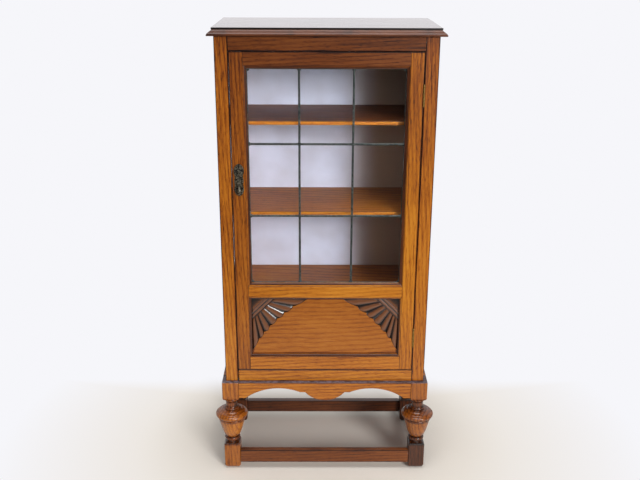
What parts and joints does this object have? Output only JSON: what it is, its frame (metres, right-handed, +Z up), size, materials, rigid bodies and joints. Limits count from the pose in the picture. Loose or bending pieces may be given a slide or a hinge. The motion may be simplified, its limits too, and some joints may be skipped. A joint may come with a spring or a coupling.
{
  "type": "glazed bookcase on stand",
  "caption": "Narrow oak bookcase with a leaded glass door over a carved solid panel, set on a low stand with cup-turned legs, a shaped apron and box stretchers.",
  "frame": {"origin": "on the floor, midway between the feet, at the bottom centre of the whole box", "axes": "+Z up, +X to the right as seen from the front, front of the bookcase towards -Y"},
  "size_m": [0.5974, 0.3294, 1.2],
  "materials": {
    "oak": "glossy varnish",
    "dark_oak": "glossy dark varnish",
    "painted_back": "matt pale paint",
    "lead": "dull grey came",
    "glass": "clear",
    "brass": "aged",
    "dark_bronze": "dark, slightly rubbed",
    "steel": "dull"
  },
  "bodies": {
    "case": {"leg_front_left": "oak", "leg_front_right": "oak", "leg_back_left": "oak", "leg_back_right": "oak", "apron_front": "oak", "apron_back": "oak", "apron_left": "oak", "apron_right": "oak", "stretcher_front": "dark_oak", "stretcher_back": "dark_oak", "stretcher_left": "dark_oak", "stretcher_right": "dark_oak", "case_side_left": "oak", "case_side_right": "oak", "case_floor": "oak", "back_panel": "painted_back", "top_board": "dark_oak", "front_stile_left": "oak", "front_stile_right": "oak", "front_top_rail": "oak", "front_bottom_rail": "oak", "shelf_upper": "oak", "shelf_middle": "oak", "shelf_lower": "oak", "hinge_upper_case_leaf": "brass", "hinge_upper_pin": "brass", "hinge_lower_case_leaf": "brass", "hinge_lower_pin": "brass"},
    "door": {"door_stile_left": "oak", "door_stile_right": "oak", "door_top_rail": "oak", "door_mid_rail": "oak", "door_bottom_rail": "oak", "door_panel": "oak", "lead_cames": "lead", "pane_1_1": "glass", "pane_1_2": "glass", "pane_1_3": "glass", "pane_2_1": "glass", "pane_2_2": "glass", "pane_2_3": "glass", "pane_3_1": "glass", "pane_3_2": "glass", "pane_3_3": "glass", "glazing_bead_top": "oak", "glazing_bead_bottom": "oak", "glazing_bead_left": "oak", "glazing_bead_right": "oak", "hinge_upper_door_leaf": "brass", "hinge_lower_door_leaf": "brass", "escutcheon": "dark_bronze", "lock_case": "steel"},
    "bolt": {"lock_bolt": "brass"},
    "pull": {"drop_pull": "dark_bronze"}
  },
  "joints": [
    {"name": "door_hinge", "type": "hinge", "parent": "case", "child": "door", "pos_m": [0.23365, -0.1329, 0.7242], "axis": [0, 0, 1], "range_deg": [0, 170]},
    {"name": "bolt_slide", "type": "slide", "parent": "door", "child": "bolt", "axis": [-1, 0, 0], "range_m": [0, 0.008]},
    {"name": "pull_swing", "type": "hinge", "parent": "door", "child": "pull", "pos_m": [-0.216, -0.139, 0.8234], "axis": [-1, 0, 0], "range_deg": [0, 100]}
  ]
}
